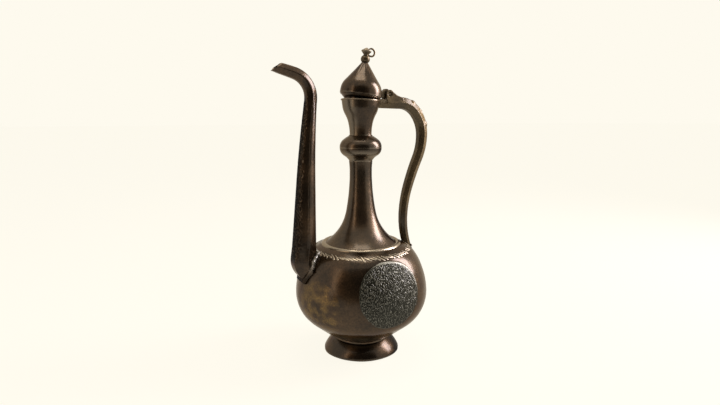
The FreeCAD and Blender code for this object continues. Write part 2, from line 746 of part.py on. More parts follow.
# Pouring holes through the bowl's wall, one in the middle and a ring of them round it
HOLE_COUNT = 6
pour_holes = []
for number in range(HOLE_COUNT + 1):
    out = "0" if number == 0 else "Sizes.pour_hole_circle"
    angle = 360 / HOLE_COUNT * number
    pour_holes.append(
        rod(
            f"pour_hole_{number}",
            "Sizes.pour_hole / 2",
            "Sizes.belly_radius / 2",
            f"placement(vector(-Sizes.belly_radius; {out} * sin({angle});"
            f" {FOOT_TOP} + Sizes.pour_hole_rise + {out} * cos({angle})); rotation(vector(0; 1; 0); 90))",
        )
    )
below_flank = rod(
    "below_flank",
    "2 * Sizes.belly_radius",
    f"{FOOT_TOP} + Sizes.flank_rise",
    "placement(vector(0; 0; 0); rotation(vector(0; 0; 1); 0))",
)
above_shoulder = rod(
    "above_shoulder",
    "2 * Sizes.belly_radius",
    "Sizes.bowl_height",
    f"placement(vector(0; 0; {FOOT_TOP} + Sizes.shoulder_rise); rotation(vector(0; 0; 1); 0))",
)
bowl = cut("bowl", bowl_shell, below_flank, above_shoulder, *rivet_holes, *pour_holes)
bowl_bottom = doc.addObject("Part::Common", "bowl_bottom")
bowl_bottom.Base = bowl_shell
bowl_bottom.Tool = below_flank
bowl_shoulder = doc.addObject("Part::Common", "bowl_shoulder")
bowl_shoulder.Base = bowl_shell
bowl_shoulder.Tool = above_shoulder

# Hinge fork on the handle's arm, and its pin
ARM_LEVEL = f"({RIM} - Sizes.bow_start_drop)"
SLOT_WIDTH = "(Sizes.knuckle_width + 2 * Sizes.knuckle_gap)"
FORK_WIDTH = f"({SLOT_WIDTH} + 2 * Sizes.ear_width)"
fork_plate = plate(
    "fork_plate",
    [
        (f"{HINGE_X} - Sizes.ear_radius", HINGE_Z),
        (f"{HINGE_X} - Sizes.ear_radius", ARM_LEVEL),
        (f"{HINGE_X} + Sizes.fork_reach", ARM_LEVEL),
        (f"{HINGE_X} + Sizes.fork_reach", f"{ARM_LEVEL} + Sizes.handle_bow_size * {FLAT} - Sizes.fork_sink"),
        (f"{HINGE_X} + 2 * Sizes.ear_radius", f"{HINGE_Z} - Sizes.ear_back_dip"),
        (
            f"{HINGE_X} + Sizes.ear_radius * cos(Sizes.ear_slope)",
            f"{HINGE_Z} + Sizes.ear_radius * sin(Sizes.ear_slope)",
        ),
    ],
    FORK_WIDTH,
)
fork_eye = cross_rod("fork_eye", "Sizes.ear_radius", FORK_WIDTH, HINGE_X, HINGE_Z)
fork_slot = plate(
    "fork_slot",
    [
        (f"{HINGE_X} - 2 * Sizes.ear_radius", f"{HINGE_Z} - Sizes.fork_floor"),
        (f"{HINGE_X} + Sizes.fork_slot_reach", f"{HINGE_Z} - Sizes.fork_floor"),
        (f"{HINGE_X} + Sizes.fork_slot_reach", f"{HINGE_Z} + 2 * Sizes.ear_radius"),
        (f"{HINGE_X} - 2 * Sizes.ear_radius", f"{HINGE_Z} + 2 * Sizes.ear_radius"),
    ],
    SLOT_WIDTH,
)
ear_bore = cross_rod("ear_bore", "Sizes.pin_radius", f"2 * {FORK_WIDTH}", HINGE_X, HINGE_Z)
ear_recesses = [
    cross_rod(
        f"ear_recess_{number}",
        "Sizes.ear_recess_radius",
        "Sizes.ear_recess",
        HINGE_X,
        HINGE_Z,
        f"{side} * ({FORK_WIDTH} - Sizes.ear_recess) / 2",
    )
    for number, side in enumerate(("-1", "1"), start=1)
]
handle_casting = fuse("handle_casting", handle_arm, handle_bow, fork_plate, fork_eye)
handle = cut(
    "handle", handle_casting, cup_form, rim_ring, bowl_form, fork_slot, ear_bore, *ear_recesses, *rivets
)
hinge_pin = cross_rod(
    "hinge_pin",
    "Sizes.pin_radius",
    f"{FORK_WIDTH} - 2 * Sizes.ear_recess",
    HINGE_X,
    HINGE_Z,
)

# Lid: dome, bezel with its plug, and the strap with the hinge's knuckle
dome_steps = [
    ("line", "Sizes.lid_radius", f"{CREASE} + Sizes.lid_band"),
    ("smooth", "Sizes.dome_radius", f"{CREASE} + Sizes.dome_rise"),
    ("smooth", "Sizes.dome_top_radius", DOME_TOP),
]
dome_flat = ("line", "Sizes.stem_radius", DOME_TOP)
dome_chain = [("Sizes.lid_radius", CREASE), *dome_steps, dome_flat]
lid_dome = place_on_lid(sheet_round("lid_dome", draw_outline("dome_outline", dome_chain), "Sizes.lid_wall"))
bezel_chain = [
    ("Sizes.lid_radius - Sizes.bezel_flange", CREASE),
    ("line", "Sizes.lid_radius", CREASE),
    ("line", "Sizes.plug_radius", "Sizes.plug_depth"),
    ("line", "Sizes.plug_radius", "0"),
]
lid_bezel = place_on_lid(sheet_round("lid_bezel", draw_outline("bezel_outline", bezel_chain), "-Sizes.lid_wall"))
lid_chain = [
    ("Sizes.plug_radius", "0"),
    ("line", "Sizes.plug_radius", "Sizes.plug_depth"),
    ("line", "Sizes.lid_radius", CREASE),
    *dome_steps,
]
lid_form = place_on_lid(solid_round("lid_form", lid_chain))
strap_plate = plate(
    "strap_plate",
    [
        (f"{HINGE_X} - Sizes.strap_root", f"{HINGE_Z} - Sizes.knuckle_radius"),
        (f"{HINGE_X} - Sizes.strap_root", f"{HINGE_Z} - Sizes.knuckle_radius + Sizes.strap_thickness"),
        (f"{HINGE_X} - Sizes.strap_top_back", f"{HINGE_Z} + Sizes.strap_top_rise"),
        (f"{HINGE_X} - Sizes.strap_top_back + Sizes.strap_thickness", f"{HINGE_Z} + Sizes.strap_top_rise"),
        (
            f"{HINGE_X} + Sizes.knuckle_radius * sin(Sizes.knuckle_slope)",
            f"{HINGE_Z} + Sizes.knuckle_radius * cos(Sizes.knuckle_slope)",
        ),
        (HINGE_X, f"{HINGE_Z} - Sizes.knuckle_radius"),
    ],
    "Sizes.knuckle_width",
)
knuckle = cross_rod("knuckle", "Sizes.knuckle_radius", "Sizes.knuckle_width", HINGE_X, HINGE_Z)
knuckle_bore = cross_rod(
    "knuckle_bore", "Sizes.pin_radius + Sizes.pin_clearance", "2 * Sizes.knuckle_width", HINGE_X, HINGE_Z
)
lid_strap = cut("lid_strap", fuse("strap_form", strap_plate, knuckle), lid_form, knuckle_bore)

# Finial: a bead on the stem of a flared bud, and a wire ring through the bud
UNTURNED = "rotation(vector(0; 0; 1); 0)"
bead_chain = [
    ("Sizes.bead_end_radius", DOME_TOP),
    ("arc", "Sizes.bead_end_radius", BEAD_TOP, "Sizes.bead_curve"),
]
stem_bore = rod("stem_bore", "Sizes.stem_radius", BEAD_TOP, f"placement(vector(0; 0; {CREASE}); {UNTURNED})")
finial_bead = place_on_lid(cut("finial_bead", solid_round("bead_form", bead_chain), stem_bore))
STEM_SEAT = f"({DOME_TOP} - Sizes.lid_wall)"
bud_chain = [
    ("Sizes.stem_head_radius", f"{STEM_SEAT} - Sizes.stem_head"),
    ("line", "Sizes.stem_head_radius", STEM_SEAT),
    ("line", "Sizes.stem_radius", STEM_SEAT),
    ("line", "Sizes.stem_radius", BEAD_TOP),
    ("line", "Sizes.bead_end_radius", BEAD_TOP),
    ("line", "Sizes.bud_waist_radius", f"{BEAD_TOP} + Sizes.bud_waist_rise"),
    ("line", "Sizes.bud_lip_radius", BUD_LIP),
    ("line", "Sizes.bud_lip_radius", f"{BUD_LIP} + Sizes.bud_lip_edge"),
    ("line", "Sizes.bud_tip_radius", f"{BEAD_TOP} + Sizes.bud_height - Sizes.bud_lip_edge"),
    ("line", "0", f"{BEAD_TOP} + Sizes.bud_height"),
]
RING_PLACE = f"placement(vector({RING_CENTRE}; 0; {BUD_LIP}); rotation(vector(1; 0; 0); 90))"
ring_hole = wire_ring("ring_hole", "Sizes.ring_radius", "Sizes.ring_wire + Sizes.ring_clearance", RING_PLACE)
finial_bud = place_on_lid(cut("finial_bud", solid_round("bud_form", bud_chain), ring_hole))
finial_ring = wire_ring("finial_ring", "Sizes.ring_radius", "Sizes.ring_wire", f"{LID_PLACE} * {RING_PLACE}")

SUBPARTS = [
    foot,
    foot_collar,
    bowl_bottom,
    bowl,
    bowl_shoulder,
    shoulder_ring,
    neck,
    knop_lower,
    knop_upper,
    mouth_cup,
    rim_wire,
    spout,
    spout_solder,
    handle,
    handle_rivets,
    hinge_pin,
    lid_dome,
    lid_bezel,
    lid_strap,
    finial_bead,
    finial_bud,
    finial_ring,
]

doc.recompute()
failed = [item.Name for item in doc.Objects if {"Invalid", "Error"} & set(item.State)]
if failed:
    raise RuntimeError("objects failed to compute: " + ", ".join(failed))
for piece in SUBPARTS:
    piece.Label = piece.Name
    if piece.Shape.isNull() or not piece.Shape.isValid() or not piece.Shape.Solids:
        raise RuntimeError(f"{piece.Label} has no valid solid")

os.makedirs("parts", exist_ok=True)
for piece in SUBPARTS:
    piece.Shape.exportStep(f"parts/{piece.Label}.step")
    box = piece.Shape.BoundBox
    print(
        f"{piece.Label}: {len(piece.Shape.Solids)} solid, {piece.Shape.Volume:.0f} mm3,"
        f" x {box.XMin:.1f} to {box.XMax:.1f}, z {box.ZMin:.1f} to {box.ZMax:.1f}"
    )
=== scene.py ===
import math

import bpy
import numpy as np
from mathutils import Matrix, Vector, noise
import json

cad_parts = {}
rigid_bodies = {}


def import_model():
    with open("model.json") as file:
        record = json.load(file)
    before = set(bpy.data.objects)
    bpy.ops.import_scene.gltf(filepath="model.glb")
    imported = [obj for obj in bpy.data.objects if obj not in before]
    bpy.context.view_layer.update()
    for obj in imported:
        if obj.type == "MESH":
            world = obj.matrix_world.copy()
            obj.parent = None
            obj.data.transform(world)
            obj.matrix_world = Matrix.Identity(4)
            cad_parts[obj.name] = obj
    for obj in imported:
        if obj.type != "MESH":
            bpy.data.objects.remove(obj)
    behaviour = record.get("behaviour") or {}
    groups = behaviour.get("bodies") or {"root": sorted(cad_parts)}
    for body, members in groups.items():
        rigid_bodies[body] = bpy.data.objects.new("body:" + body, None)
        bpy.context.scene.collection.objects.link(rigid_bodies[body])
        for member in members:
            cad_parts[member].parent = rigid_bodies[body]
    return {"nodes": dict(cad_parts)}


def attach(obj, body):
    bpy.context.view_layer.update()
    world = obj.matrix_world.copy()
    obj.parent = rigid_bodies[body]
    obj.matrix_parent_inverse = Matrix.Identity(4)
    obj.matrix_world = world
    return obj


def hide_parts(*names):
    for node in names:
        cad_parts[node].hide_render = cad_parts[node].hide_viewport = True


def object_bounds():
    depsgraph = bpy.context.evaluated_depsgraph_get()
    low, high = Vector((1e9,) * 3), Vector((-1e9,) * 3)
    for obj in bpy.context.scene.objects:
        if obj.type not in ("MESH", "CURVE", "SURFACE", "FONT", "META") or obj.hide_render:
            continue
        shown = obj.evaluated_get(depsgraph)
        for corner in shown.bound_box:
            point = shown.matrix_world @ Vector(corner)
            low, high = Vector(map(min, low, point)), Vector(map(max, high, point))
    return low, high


bl_info = {
    "name": "Long-Spouted Ewer",
    "version": (1, 0, 0),
    "blender": (4, 5, 0),
    "location": "View3D > Sidebar > Ewer",
    "description": "Dresses the packed ewer in patinated bronze and sets its studio stage",
    "category": "Object",
}

for leftover in list(bpy.data.objects):
    bpy.data.objects.remove(leftover)
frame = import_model()
CAD_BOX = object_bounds()

MM = 0.001

# Widths in millimetres of the patterns in the metal's skin
CLOUD_WIDTH = 30.3
SPECK_WIDTH = 2.083
PIT_WIDTH = 1.111

# Outlines in millimetres, as radius and height, close to the arcs that the solids are turned from
FOOT = [
    (41.7, 0.0),
    ("line", 41.7, 2.0),
    ("arc", 30.5, 16.5, 45.0),
    ("line", 30.2, 20.4),
    ("line", 26.0, 20.4),
]
BOWL = [
    (0.0, 19.0),
    ("line", 27.0, 19.0),
    ("arc", 44.0, 26.97, 40.2),
    ("line", 57.8, 38.0),
    ("smooth", 72.6, 70.0),
    ("smooth", 60.4, 110.0),
    ("smooth", 53.5, 117.2),
    ("smooth", 41.0, 123.0),
    ("line", 36.5, 123.0),
]
NECK = [
    (39.3, 123.0),
    ("line", 37.5, 124.3),
    ("smooth", 24.2, 138.0),
    ("smooth", 16.3, 157.0),
    ("smooth", 12.0, 200.0),
    ("smooth", 12.6, 211.3),
    ("line", 12.6, 212.0),
]
KNOP_LOWER = [
    (22.5, 226.3),
    ("line", 22.5, 225.6),
    ("smooth", 18.0, 217.7),
    ("smooth", 12.6, 212.7),
    ("line", 12.6, 212.0),
]
KNOP_UPPER = [
    (22.5, 226.3),
    ("line", 22.5, 227.0),
    ("smooth", 19.0, 234.5),
    ("smooth", 12.6, 238.8),
    ("line", 12.6, 239.5),
]
CUP = [
    (11.8, 239.5),
    ("line", 11.8, 240.6),
    ("smooth", 13.2, 252.6),
    ("smooth", 16.5, 261.0),
    ("smooth", 19.2, 269.0),
    ("smooth", 20.4, 279.0),
]
RIM_HEIGHT = 275.0
RIM_TILT = math.radians(2.7)

# The lid's own frame: its plug's lower edge, leaning towards the hinge
CREASE = 9.028
DOME = [
    (22.0, CREASE),
    ("line", 22.0, CREASE + 3.1),
    ("smooth", 18.4, CREASE + 13.6),
    ("smooth", 3.4, CREASE + 33.5),
    ("line", 1.5, CREASE + 33.5),
]
BEZEL = [(17.5, CREASE), ("line", 22.0, CREASE), ("line", 17.0, 4.2), ("line", 17.0, 0.0)]
LID_FRAME = Matrix.Translation((-1.4123 * MM, 0, 272.042 * MM)) @ Matrix.Rotation(math.radians(9), 4, "Y")

# Places in millimetres: the ring's eye, the beak's tip, and as x and z the lumps on the handle's bend
RING_EYE = Vector((8.95, 0.0, 325.21))
BEAK_TIP = Vector((-98.5, 0.0, 306.1))
CASTING_LUMPS = [Vector((64.5, 276.0)), Vector((77.0, 266.3)), Vector((81.6, 251.2))]

# The stage, in metres and degrees. Each lamp has its place, size, power in watts and colour
CAMERA_PLACE = (-0.2389, -0.4675, 0.2549)
CAMERA_TURN = (80.45, 0.2, -27.0)
LAMP_TARGET = (0.0, 0.0, 0.2)
LAMPS = [
    ("Window Lamp", (0.91, -0.25, 0.6), (0.36, 0.75), 25.0, "#f6f1fa"),
    ("Overhead Lamp", (0.05, 0.1, 1.15), (0.5, 0.5), 5.0, "#fff6e6"),
    ("Left Lamp", (-0.95, -0.25, 0.45), (0.16, 0.8), 1.4, "#ffd9ae"),
]


def linear(code):
    """An sRGB hex colour as linear red, green, blue and alpha."""
    channels = [int(code[place : place + 2], 16) / 255 for place in (1, 3, 5)]
    return [c / 12.92 if c <= 0.04045 else ((c + 0.055) / 1.055) ** 2.4 for c in channels] + [1.0]


def smooth_step(low, high, number):
    """0 below low, 1 above high and an even curve between."""
    share = min(max((number - low) / (high - low), 0.0), 1.0)
    return share * share * (3 - 2 * share)


def colour(name, description, code):
    """A colour property with an sRGB hex default."""
    return bpy.props.FloatVectorProperty(
        name=name, description=description, default=linear(code), subtype="COLOR", size=4, min=0, max=1
    )


def length(name, description, millimetres):
    """A length property with a default in millimetres."""
    return bpy.props.FloatProperty(
        name=name, description=description, default=millimetres * MM, unit="LENGTH", subtype="DISTANCE", min=0
    )


class EwerSizes(bpy.types.PropertyGroup):
    """Sizes of the ornament, of the wear and of the marks that the hammer left."""

    bowl_wall: length("Bowl wall", "Thickness of the bowl's sheet", 1.3)
    neck_wall: length("Neck wall", "Thickness of the sheet of neck, knop, cup and lid", 1.2)
    foot_wall: length("Foot wall", "Thickness of the foot's sheet", 1.6)
    hammer_depth: length("Hammer depth", "How deep the dents of the beaten sheet are", 0.3)
    hammer_size: length("Hammer size", "How wide the dents of the beaten sheet are", 14.0)
    rim_knock: length("Rim knock", "How far an old knock has bent the foot's rim up", 1.6)
    collar_lift: length("Collar lift", "How far the foot's solder bead sits above its solid", 2.6)
    roundel_radius: length("Roundel radius", "Radius of the chased roundel on the bowl's side", 36.8)
    roundel_height: length("Roundel height", "Height of the roundel's middle above the table", 82.0)
    field_radius: length("Field radius", "Radius of the worn field under the spout", 38.0)
    field_height: length("Field height", "Height of the worn field's middle", 67.0)
    field_turn: bpy.props.FloatProperty(
        name="Field turn",
        description="How far the worn field lies round from the spout",
        default=math.radians(24),
        unit="ROTATION",
        subtype="ANGLE",
    )
    relief_depth: length("Relief depth", "How far the chased ground is sunk", 0.42)
    disc_wall: length("Disc wall", "Thickness of the sheet of roundels and field", 0.4)
    leaf_height: length("Leaf height", "Height of the leaf band's middle", 117.8)
    leaf_length: length("Leaf length", "Length of one leaf of the shoulder's band", 10.2)
    leaf_width: length("Leaf width", "Width of one leaf of the shoulder's band", 2.3)
    leaf_count: bpy.props.IntProperty(
        name="Leaf count", description="Leaves round the shoulder", default=72, min=8, max=120
    )
    engraving_depth: length("Engraving depth", "Depth of the scrolls on the spout", 0.55)
    lip_lift: length("Lip lift", "How far the beak's lower lip is thinned from below", 1.3)
    lip_draw: length("Lip draw", "How far the beak's lower lip is drawn back", 2.6)
    shoulder_swell: length("Shoulder wire swell", "How far the shoulder's wire swells past its solid", 1.4)
    shoulder_drop: length("Shoulder wire drop", "How far the shoulder's wire sits below its solid", 2.0)
    mouth_swell: length("Mouth wire swell", "How far the mouth's wire swells past its solid", 0.1)
    ring_swell: length("Ring swell", "How far the finial's ring swells past its solid", 0.36)
    hinge_seat: length("Hinge seat", "Height of the underside of the lug below the hinge", 277.2)
    casting_lump: length("Casting lump", "Height of the lumps on the handle's bend", 0.9)
    camera_lens: bpy.props.FloatProperty(
        name="Camera lens",
        description="Focal length of the stage camera in millimetres",
        default=24.45,
        unit="CAMERA",
        min=1,
    )


class EwerFinish(bpy.types.PropertyGroup):
    """Colours of the metal's patina and of the stage."""

    patina_dark: colour("Dark patina", "Brown skin of the old bronze", "#2f251b")
    patina_warm: colour("Warm patina", "Copper-brown where the skin is thin", "#4a3928")
    # worn metal, also the tone of painted highlights and painted reflections
    patina_worn: colour("Worn metal", "Rubbed edges and ridges", "#948877")
    waxed_rim: colour("Waxed rim", "Tint of the lights where the metal turns away", "#c4b39e")
    cast_brown: colour("Cast brown", "Skin of the cast bars", "#403627")
    cast_gold: colour("Cast gold", "Thin skin of the cast bars and the wires", "#66563c")
    ground_dark: colour("Chased ground", "Grime in the sunk ground of the ornament", "#3b3a33")
    ground_thin: colour("Thin ground", "Thin skin of the chased work", "#45443c")
    # ridges of the chased work, also the tone of the painted highlight on the roundels' rims
    chased_worn: colour("Chased ridges", "Rubbed ridges of the chased work", "#757369")
    field_gold: colour("Field gold", "Golden patches of the worn field", "#80663a")
    solder_grey: colour("Solder", "Grey of the old soft solder", "#8d8982")
    solder_brown: colour("Brown solder", "Solder under a brown skin", "#544b40")
    dark_card: colour("Dark card", "The card that the metal mirrors", "#59524a")
    backdrop: colour("Backdrop", "Cream of the floor and the backdrop", "#fefaee")


def clear_selection():
    """Leave edit mode and deselect everything."""
    if bpy.context.object and bpy.context.object.mode != "OBJECT":
        bpy.ops.object.mode_set(mode="OBJECT")
    bpy.ops.object.select_all(action="DESELECT")


def take(piece):
    """Make one piece the only selected and the active one."""
    clear_selection()
    piece.select_set(True)
    bpy.context.view_layer.objects.active = piece


def named(name):
    """The piece that was made last, under its name."""
    piece = bpy.context.object
    piece.name = name
    piece.data.name = name
    return piece


def apply_modifier(piece, kind, **settings):
    """Add a modifier with its settings and apply it."""
    take(piece)
    modifier = piece.modifiers.new(kind.title(), kind)
    for name, setting in settings.items():
        setattr(modifier, name, setting)
    bpy.ops.object.modifier_apply(modifier=modifier.name)


def outline_points(chain, spacing):
    """Points along an outline of lines and arcs. A smooth arc leaves the run before it without a corner."""
    points = [Vector(chain[0])]
    heading = 0.0
    for kind, radius, height, *curve in chain[1:]:
        start = points[-1]
        chord = Vector((radius, height)) - start
        direction = math.atan2(chord.y, chord.x)
        half = 0.0
        if kind == "smooth":
            half = (direction - heading + math.pi) % (2 * math.pi) - math.pi
        elif kind == "arc":
            half = math.copysign(math.asin(chord.length / 2 / abs(curve[0])), curve[0])
        heading = direction + half
        straight = abs(half) < 1e-6
        run = chord.length if straight else chord.length * half / math.sin(half)
        count = max(1, round(run / spacing))
        for number in range(1, count + 1):
            share = number / count
            if straight:
                points.append(start + chord * share)
                continue
            bend = chord.length / (2 * math.sin(half))
            leave = direction - half
            centre = start + bend * Vector((-math.sin(leave), math.cos(leave)))
            here = leave + 2 * half * share
            points.append(centre + bend * Vector((math.sin(here), -math.cos(here))))
    return points


def draw_outline(name, points):
    """A chain of edges in the XZ plane, drawn out of one point by extruding it step by step."""
    clear_selection()
    bpy.ops.mesh.primitive_plane_add(size=MM)
    piece = named(name)
    bpy.ops.object.mode_set(mode="EDIT")
    bpy.ops.mesh.select_mode(type="VERT")
    bpy.ops.mesh.merge(type="CENTER")
    bpy.ops.transform.translate(value=(points[0].x * MM, 0, points[0].y * MM))
    for start, end in zip(points, points[1:]):
        step = ((end.x - start.x) * MM, 0, (end.y - start.y) * MM)
        bpy.ops.mesh.extrude_vertices_move(TRANSFORM_OT_translate={"value": step})
    bpy.ops.object.mode_set(mode="OBJECT")
    return piece


def face_outwards(piece):
    """Turn all faces of a piece the same way, away from the pot's axis."""
    take(piece)
    bpy.ops.object.mode_set(mode="EDIT")
    bpy.ops.mesh.select_all(action="SELECT")
    bpy.ops.mesh.normals_make_consistent(inside=False)
    bpy.ops.object.mode_set(mode="OBJECT")
    widest = max(piece.data.polygons, key=lambda face: face.center.xy.length)
    if widest.normal.xy.dot(widest.center.xy) < 0:
        bpy.ops.object.mode_set(mode="EDIT")
        bpy.ops.mesh.flip_normals()
        bpy.ops.object.mode_set(mode="OBJECT")


def spin_shell(name, chain, spacing, steps):
    """Spin an outline round the pot's axis into an open skin that faces outwards."""
    piece = draw_outline(name, outline_points(chain, spacing))
    bpy.ops.object.mode_set(mode="EDIT")
    bpy.ops.mesh.select_all(action="SELECT")
    bpy.ops.mesh.spin(steps=steps, angle=2 * math.pi, center=(0, 0, 0), axis=(0, 0, 1))
    bpy.ops.mesh.select_all(action="SELECT")
    bpy.ops.mesh.remove_doubles(threshold=0.02 * MM)
    face_outwards(piece)
    return piece


def sink(piece, depth_at):
    """Move each point of a skin inwards by a depth worked out from its place and its normal."""
    before = [(vertex.co.copy(), vertex.normal.copy()) for vertex in piece.data.vertices]
    for vertex, (place, normal) in zip(piece.data.vertices, before):
        vertex.co = place - normal * depth_at(place, normal)


def beat(piece, depth, size):
    """Sink hammer dents into a skin, never outwards, so that it keeps inside its solid."""

    def dent(place, normal):
        wave = 0.5 + 0.5 * noise.noise(place / size) + 0.25 * noise.noise(place / size * 2.7)
        return depth * min(max(wave, 0.0), 1.0)

    sink(piece, dent)


def thicken(piece, wall):
    """Give a skin its wall, inwards, and smooth it."""
    apply_modifier(piece, "SOLIDIFY", thickness=wall, offset=-1.0, use_rim=True)
    bpy.ops.object.shade_smooth_by_angle(angle=math.radians(40))


def write_layer(piece, layer, shares):
    """Keep one share per point in a layer that the finishes read: one layer holds bare metal with painted
    light, the other dirt with painted shade.
    """
    piece.data.attributes.new(layer, "FLOAT", "POINT").data.foreach_set("value", shares)


def paint_wear_light_and_shade(piece, share_at, layer="ridge"):
    """Write a share per point into one layer, worked out from place and normal; one layer holds bare metal
    with painted light, the other dirt with painted shade.
    """
    write_layer(piece, layer, [share_at(vertex.co, vertex.normal) for vertex in piece.data.vertices])


def hand_over(piece, body, slot, material, *nodes):
    """Set a finished piece on its body, in place of the solids that it stands for."""
    for layer in ("ridge", "grime"):
        if layer not in piece.data.attributes:
            piece.data.attributes.new(layer, "FLOAT", "POINT")
    piece.data.materials.clear()
    piece.data.materials.append(material)
    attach(piece, body)
    if nodes:
        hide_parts(*nodes)


def bar_copy(node, name, voxel, rounds):
    """A copy of a solid, remeshed into an even skin whose edges are rubbed round."""
    take(frame["nodes"][node])
    bpy.ops.object.duplicate()
    piece = named(name)
    bpy.ops.object.mode_set(mode="EDIT")
    bpy.ops.mesh.select_all(action="SELECT")
    bpy.ops.mesh.remove_doubles(threshold=0.004 * MM)
    bpy.ops.object.mode_set(mode="OBJECT")
    for key in list(piece.keys()):
        del piece[key]
    piece.parent = None
    apply_modifier(piece, "REMESH", mode="VOXEL", voxel_size=voxel, use_smooth_shade=True)
    apply_modifier(piece, "SMOOTH", factor=0.5, iterations=rounds)
    return piece


def add(tree, kind, inputs=None, **settings):
    """Add a node with its settings, and link or set its inputs."""
    node = tree.nodes.new(kind)
    for name, setting in settings.items():
        setattr(node, name, setting)
    for name, source in (inputs or {}).items():
        if isinstance(source, bpy.types.NodeSocket):
            tree.links.new(source, node.inputs[name])
        else:
            node.inputs[name].default_value = source
    return node


def clean_tree(owner):
    """The empty node tree of a material or a world."""
    owner.use_nodes = True
    owner.node_tree.nodes.clear()
    return owner.node_tree


def patinated_bronze(name, dark, warm, worn, roughness, warm_share, wear):
    """Beaten and cast bronze under a thin brown skin.

    The skin is dark where it is whole, copper-brown where handling has thinned it, and
    paler on edges, on the ridges of the ornament and where painted light is laid on it;
    dirt and painted shade darken it. A thin coat of old wax gives it pale
    lights, and its rims show the pale room.
    """
    tree = clean_tree(bpy.data.materials.new(name))
    waxed_rim = list(bpy.context.scene.ewer_finish.waxed_rim)[:3]
    place = add(tree, "ShaderNodeTexCoord").outputs["Object"]
    # clouds of thinner skin
    clouds = add(
        tree,
        "ShaderNodeTexNoise",
        {"Vector": place, "Scale": 1 / (CLOUD_WIDTH * MM), "Detail": 4.0, "Roughness": 0.6},
    ).outputs["Fac"]
    # specks of corrosion
    specks = add(
        tree,
        "ShaderNodeTexNoise",
        {"Vector": place, "Scale": 1 / (SPECK_WIDTH * MM), "Detail": 3.0, "Roughness": 0.65},
    ).outputs["Fac"]
    thin = add(
        tree,
        "ShaderNodeMapRange",
        {"Value": clouds, "From Min": 0.42, "From Max": 0.68, "To Min": 0.0, "To Max": warm_share},
    ).outputs["Result"]
    skin = add(tree, "ShaderNodeMix", {0: thin, 6: dark, 7: warm}, data_type="RGBA").outputs[2]
    speck_share = add(
        tree,
        "ShaderNodeMapRange",
        {"Value": specks, "From Min": 0.35, "From Max": 0.7, "To Min": 0.72, "To Max": 1.3},
    ).outputs["Result"]
    speckled = add(
        tree, "ShaderNodeVectorMath", {0: skin, "Scale": speck_share}, operation="SCALE"
    ).outputs["Vector"]
    edges = add(tree, "ShaderNodeNewGeometry").outputs["Pointiness"]
    rubbed = add(
        tree,
        "ShaderNodeMapRange",
        {"Value": edges, "From Min": 0.515, "From Max": 0.6, "To Min": 0.0, "To Max": wear},
    ).outputs["Result"]
    # the pale layer holds real wear and painted light; with the worn edges it pales the skin towards the worn
    # tone
    ridge = add(tree, "ShaderNodeAttribute", attribute_name="ridge").outputs["Fac"]
    bare = add(tree, "ShaderNodeMath", {0: rubbed, 1: ridge}, operation="ADD", use_clamp=True).outputs[0]
    metal = add(tree, "ShaderNodeMix", {0: bare, 6: speckled, 7: worn}, data_type="RGBA").outputs[2]
    # old dirt and painted shade take the light from metal, rims and wax alike
    grime = add(tree, "ShaderNodeAttribute", attribute_name="grime").outputs["Fac"]
    clean_and_unshaded = add(tree, "ShaderNodeMath", {0: 1.0, 1: grime}, operation="SUBTRACT").outputs[0]
    seen, rims = (
        add(tree, "ShaderNodeVectorMath", {0: tone, "Scale": clean_and_unshaded}, operation="SCALE").outputs["Vector"]
        for tone in (metal, waxed_rim)
    )
    wax = add(tree, "ShaderNodeMath", {0: clean_and_unshaded, 1: 0.36}, operation="MULTIPLY").outputs[0]
    dull = add(
        tree,
        "ShaderNodeMapRange",
        {
            "Value": clouds,
            "From Min": 0.3,
            "From Max": 0.7,
            "To Min": roughness - 0.06,
            "To Max": roughness + 0.08,
        },
    ).outputs["Result"]
    # fine pitting, drawn coarser than it is so that it shows
    pits = add(
        tree, "ShaderNodeTexNoise", {"Vector": place, "Scale": 1 / (PIT_WIDTH * MM), "Detail": 2.0}
    ).outputs["Fac"]
    grain = add(
        tree, "ShaderNodeBump", {"Height": pits, "Strength": 0.18, "Distance": 0.4 * MM}
    ).outputs["Normal"]
    shader = add(
        tree,
        "ShaderNodeBsdfPrincipled",
        {
            "Base Color": seen,
            "Metallic": 1.0,
            "Roughness": dull,
            "Normal": grain,
            "Specular Tint": rims,
            "Coat Weight": wax,
            "Coat Roughness": 0.2,
        },
    )
    add(tree, "ShaderNodeOutputMaterial", {"Surface": shader.outputs["BSDF"]})


def finishes():
    """The materials, made once and then found by name.

    Each has its dark, thin and worn colour, the last also the tone of painted light, its roughness, the share
    of thin skin and the wear of its edges.
    """
    paint = {name: list(getattr(bpy.context.scene.ewer_finish, name)) for name in EwerFinish.__annotations__}
    dark, warm, worn = paint["patina_dark"], paint["patina_warm"], paint["patina_worn"]
    gold, brown = paint["cast_gold"], paint["solder_brown"]
    recipes = {
        "beaten_sheet_bronze": (dark, warm, worn, 0.30, 0.8, 0.25),
        "folded_spout_bronze": (dark, warm, worn, 0.34, 0.9, 0.4),
        "cast_bar_bronze": (paint["cast_brown"], gold, worn, 0.46, 0.7, 0.4),
        "drawn_wire_bronze": (warm, gold, worn, 0.28, 0.8, 0.6),
        "chased_bronze": (paint["ground_dark"], paint["ground_thin"], paint["chased_worn"], 0.5, 0.8, 0.0),
        "worn_field": (dark, warm, paint["field_gold"], 0.34, 0.8, 0.0),
        "old_solder": (warm, brown, paint["solder_grey"], 0.5, 0.8, 0.2),
        "dark_solder": (warm, brown, worn, 0.4, 0.8, 0.1),
    }
    for name, recipe in recipes.items():
        if name not in bpy.data.materials:
            patinated_bronze(name, *recipe)
    return {name: bpy.data.materials[name] for name in recipes}


def meridian():
    """The bowl's outline as distance along it, radius and height, from its lower flank to its shoulder."""
    points = outline_points(BOWL, 0.5)
    table = []
    run = 0.0
    for start, end in zip(points, points[1:]):
        run += (end - start).length
        table.append((run, end.x, end.y))
    return np.array(table)


